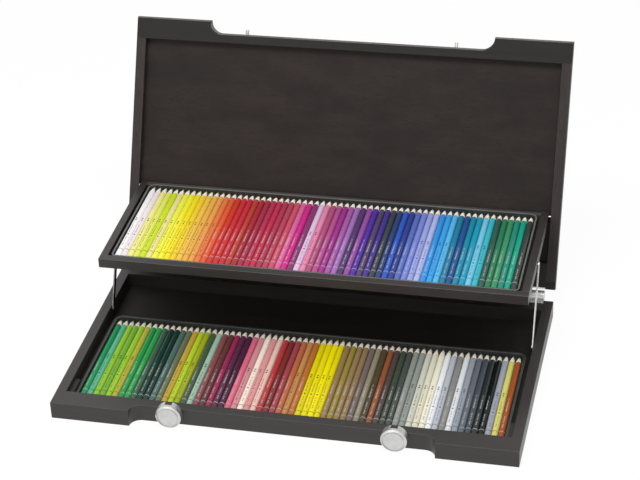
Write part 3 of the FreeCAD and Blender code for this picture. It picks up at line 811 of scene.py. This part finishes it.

# %% [markdown]
# ## The two rows
#
# A set of colour pencils is laid out by hue: from white through the yellows, reds and violets to the
# blues and greens in the upper row, then greens, browns, greys and the metallics below. Each pigment
# was chosen one by one, and is written as hue in degrees, and strength and lightness in percent.

# %% Pigments of the upper row
UPPER_ROW = """
white 0 1 96, ivory 350 4 93, cream 56 38 93, pale_lime 62 55 90, lime_yellow 66 78 87,
straw 54 36 91, lemon 61 66 93, light_yellow 58 76 95, yellow 55 84 94, deep_yellow 50 78 93,
naples 44 66 92, golden 39 66 90, light_orange 32 64 90, orange 20 68 88, deep_orange 14 74 86,
vermilion 4 76 80, scarlet 358 74 78, red 354 74 76, brick 4 68 72, brownish_red 354 72 66,
dark_crimson 348 68 64, crimson 345 70 70, rose_red 348 72 74, carmine 345 66 68,
dull_carmine 348 60 70, coral 348 58 78, pink 330 52 83, magenta 325 78 80, dark_mauve 320 58 54,
pale_lilac 300 13 87, light_pink 334 40 88, dusty_rose 334 52 68, orchid 322 54 70,
purple 312 66 62, mauve 300 42 64, light_violet 284 38 70, dark_violet 270 45 42,
heather 290 48 62, violet 258 68 62, grey_violet 268 36 42, blue_violet 252 60 54,
slate 215 18 30, indigo 225 55 45, cobalt 222 72 72, dark_blue 230 62 55, periwinkle 228 50 72,
light_periwinkle 230 42 82, pale_periwinkle 230 30 86, lavender 230 24 90, sky_blue 206 75 85,
sky 204 72 88, light_sky 200 62 90, teal_blue 198 75 62, deep_blue 214 72 56, teal 194 80 65,
turquoise_blue 192 82 72, pale_aqua 195 48 88, turquoise 186 68 76, dark_slate_green 165 45 36,
green 152 62 48, mid_green 150 58 56, teal_green 168 70 54, bright_teal 168 85 62,
grey_green 150 12 26
"""

# %% Pigments of the lower row
LOWER_ROW = """
emerald 150 72 56, mint 152 48 70, lime 80 72 76, grass 88 68 68, fresh_lime 78 74 78,
olive_lime 58 66 70, leaf 140 72 58, meadow 136 68 60, dark_green 140 36 38, fir 165 52 24,
dark_fir 165 45 22, grey_teal 165 26 42, olive_grey 80 24 44, golden_ochre 47 68 74,
moss 68 80 80, olive_moss 66 78 68, dark_olive_green 105 28 36, sage 140 15 74,
rose_brown 358 42 52, maroon_brown 2 44 40, wine 338 68 58, purple_maroon 325 52 36,
aubergine 322 50 30, rose_pink 346 50 84, shell_pink 352 32 82, pale_cream 28 12 97,
dusky_pink 358 31 86, flesh 14 21 92, venetian_red 358 66 70, dark_red_brown 2 62 50,
dusty_red 354 55 62, orange_brown 18 62 72, light_ochre 30 58 76, burnt_ochre 28 72 72,
cadmium 56 90 88, sun 56 92 92, bright_yellow 57 95 95, canary 56 90 90, brown_ochre 38 48 58,
ochre_olive 46 55 60, umber_tan 38 44 58, tan 34 38 56, grey_brown 14 15 46,
light_grey_brown 44 20 56, dark_brown 38 38 32, sanguine 20 60 56, violet_brown 12 16 32,
dark_olive 105 14 30, bottle_grey 150 10 32, mid_grey 100 4 58, plain_grey 120 4 60,
warm_grey 70 7 82, beige_grey 50 11 88, bone 50 10 94, near_white 220 2 96, cold_grey 220 7 78,
stone 60 2 54, pale_silver 210 3 91, blue_grey 215 11 66, steel_blue 218 14 46,
dark_blue_grey 215 18 34, black_grey 190 16 20, black 190 30 9, silver 225 8 68,
pale_gold 57 45 84, copper 22 76 62
"""


# %% Read the pigments and colour one copy
def read_row(text):
    row = []
    for entry in text.replace("\n", " ").split(","):
        name, hue, strength, lightness = entry.split()
        shade = colorsys.hsv_to_rgb(int(hue) / 360, int(strength) / 100, int(lightness) / 100)
        row.append((name, paint(*[255 * v for v in shade])))
    return row


def tint(mesh, colour):
    layer = mesh.color_attributes.new("pigment", "FLOAT_COLOR", "CORNER")
    layer.data.foreach_set("color", list(colour) * len(mesh.loops))


upper_row = read_row(UPPER_ROW)
lower_row = read_row(LOWER_ROW)
print("pencils:", len(upper_row), "above and", len(lower_row), "below")

# %% Lay out a row of copies
PITCH = 7.75 * MM
UPPER_BUTT_Y, UPPER_AXIS_Z = 34.7 * MM, 111.65 * MM
LOWER_BUTT_Y, LOWER_AXIS_Z = -119.4 * MM, 7.45 * MM
# Each pencil has rolled a little, by up to this many degrees either way.
MOST_ROLL = 9
hands = random.Random(12)


def lay_row(name, pigments, butt_y, axis_z):
    copies = []
    first = -(len(pigments) - 1) / 2 * PITCH
    for place, (pigment_name, colour) in enumerate(pigments):
        mesh = pencil.data.copy()
        tint(mesh, colour)
        roll = math.radians(hands.uniform(-MOST_ROLL, MOST_ROLL))
        mesh.transform(Matrix.Rotation(roll, 4, "Y"))
        mesh.transform(Matrix.Translation((first + place * PITCH, butt_y, axis_z)))
        copy = bpy.data.objects.new("%s_%02d_%s" % (name, place, pigment_name), mesh)
        bpy.context.scene.collection.objects.link(copy)
        copies.append(copy)
    bpy.ops.object.select_all(action="DESELECT")
    for copy in copies:
        copy.select_set(True)
    bpy.context.view_layer.objects.active = copies[0]
    bpy.ops.object.join()
    copies[0].name = name
    return copies[0]


upper_pencils = lay_row("upper_pencils", upper_row, UPPER_BUTT_Y, UPPER_AXIS_Z)
lower_pencils = lay_row("lower_pencils", lower_row, LOWER_BUTT_Y, LOWER_AXIS_Z)
bpy.data.objects.remove(pencil)
fit(upper_pencils, "tray", ["upper_pencil_casings", "upper_pencil_leads"])
fit(lower_pencils, "base", ["lower_pencil_casings", "lower_pencil_leads"])

# %% [markdown]
# ## Floor and light
#
# The photograph has a white ground and soft light from all round. White light on everything would
# wash the dark wood out, so the lamps stay at a plain level, and only what the camera or a mirror
# sees directly of floor and sky is white.

# %% The floor
WHITE = (1, 1, 1, 1)
FLOOR_SIZE = 14
FLOOR_HEIGHT = -0.5 * MM
FLOOR_GLOW = 1.02
GLOW_SHARE = 0.92
bpy.ops.object.select_all(action="DESELECT")
bpy.ops.mesh.primitive_grid_add(x_subdivisions=4, y_subdivisions=4, size=FLOOR_SIZE,
                                location=(0, 0, FLOOR_HEIGHT))
floor = bpy.context.active_object
floor.name = "studio_floor"


def direct_view(tree):
    """1 where the camera, a mirror or glass looks straight at it."""
    path = add(tree, "LightPath")
    seen = reckon(tree, "MAXIMUM", path.outputs["Is Camera Ray"], path.outputs["Is Glossy Ray"])
    return reckon(tree, "MAXIMUM", seen, path.outputs["Is Transmission Ray"])


def floor_finish():
    material, tree, shader, place = start_finish("white_floor")
    soft = noise(tree, place, (3, 3, 3), 2)
    colour = mix_colours(tree, soft, paint(236, 236, 236), paint(246, 246, 246))
    tree.links.new(colour, shader.inputs["Base Color"])
    shader.inputs["Roughness"].default_value = 0.8
    shader.inputs["Specular IOR Level"].default_value = 0.0
    glow = add(tree, "Emission")
    glow.inputs["Color"].default_value = WHITE
    glow.inputs["Strength"].default_value = FLOOR_GLOW
    blend = add(tree, "MixShader")
    feed(tree, blend.inputs[0], reckon(tree, "MULTIPLY", direct_view(tree), GLOW_SHARE))
    tree.links.new(shader.outputs[0], blend.inputs[1])
    tree.links.new(glow.outputs[0], blend.inputs[2])
    tree.links.new(blend.outputs[0], tree.nodes["Material Output"].inputs["Surface"])
    return material


floor.data.materials.append(floor_finish())
print("floor is", floor.dimensions.x, "m across")

# %% The sky
SKY_LIGHT = 0.42
SKY_SEEN = 1.01
world = bpy.data.worlds.new("soft_room")
bpy.context.scene.world = world
world.use_nodes = True
sky = world.node_tree
soft_white = sky.nodes["Background"]
soft_white.inputs["Color"].default_value = WHITE
soft_white.inputs["Strength"].default_value = SKY_LIGHT
seen_white = add(sky, "Background")
seen_white.inputs["Color"].default_value = WHITE
seen_white.inputs["Strength"].default_value = SKY_SEEN
choose = add(sky, "MixShader")
feed(sky, choose.inputs[0], direct_view(sky))
sky.links.new(soft_white.outputs[0], choose.inputs[1])
sky.links.new(seen_white.outputs[0], choose.inputs[2])
sky.links.new(choose.outputs[0], sky.nodes["World Output"].inputs["Surface"])


# %% The lamps
AIM = Vector((0, 0, 0.1))


def soft_lamp(name, place, width, depth, watts):
    data = bpy.data.lights.new(name, "AREA")
    data.shape = "RECTANGLE"
    data.size = width
    data.size_y = depth
    data.energy = watts
    lamp = bpy.data.objects.new(name, data)
    bpy.context.scene.collection.objects.link(lamp)
    lamp.location = place
    lamp.rotation_euler = (AIM - Vector(place)).to_track_quat("-Z", "Y").to_euler()


soft_lamp("overhead_softbox", (0.0, -0.45, 1.85), width=1.6, depth=0.6, watts=26)
soft_lamp("front_fill", (-0.9, -1.9, 1.1), width=1.2, depth=1.2, watts=6)

# %% [markdown]
# ## The camera
#
# The photograph was taken from the front right and above, from about two and a half metres, with a
# long lens. The case lies off the middle of the frame. Only about a third of that is lens shift, so
# that a turned view still shows the whole case, and the camera's own direction makes up the rest.

# %% Set the camera
YAW = math.radians(16.2)
PITCH_DOWN = math.radians(-33.01)
ROLL = math.radians(-3.94)
LENS = 118.67
SHIFT_X, SHIFT_Y = 0.1204, 0.0598
CAMERA_PLACE = (0.51613, -2.03461, 1.49635)
ahead = Vector((-math.sin(YAW) * math.cos(PITCH_DOWN), math.cos(YAW) * math.cos(PITCH_DOWN),
                math.sin(PITCH_DOWN)))
level_right = Vector((math.cos(YAW), math.sin(YAW), 0))
level_up = level_right.cross(ahead)
right = level_right * math.cos(ROLL) + level_up * math.sin(ROLL)
up = level_up * math.cos(ROLL) - level_right * math.sin(ROLL)
camera_data = bpy.data.cameras.new("photo_camera")
camera_data.sensor_width = 36
camera_data.lens = LENS
camera_data.shift_x = SHIFT_X
camera_data.shift_y = SHIFT_Y
camera_data.clip_start = 0.1
camera_data.clip_end = 50
camera = bpy.data.objects.new("photo_camera", camera_data)
bpy.context.scene.collection.objects.link(camera)
facing = Matrix((right, up, -ahead)).transposed().to_4x4()
camera.matrix_world = Matrix.Translation(CAMERA_PLACE) @ facing
bpy.context.scene.camera = camera
bpy.context.scene.view_settings.view_transform = "Standard"
print("camera stands", round(camera.location.length, 2), "m away")
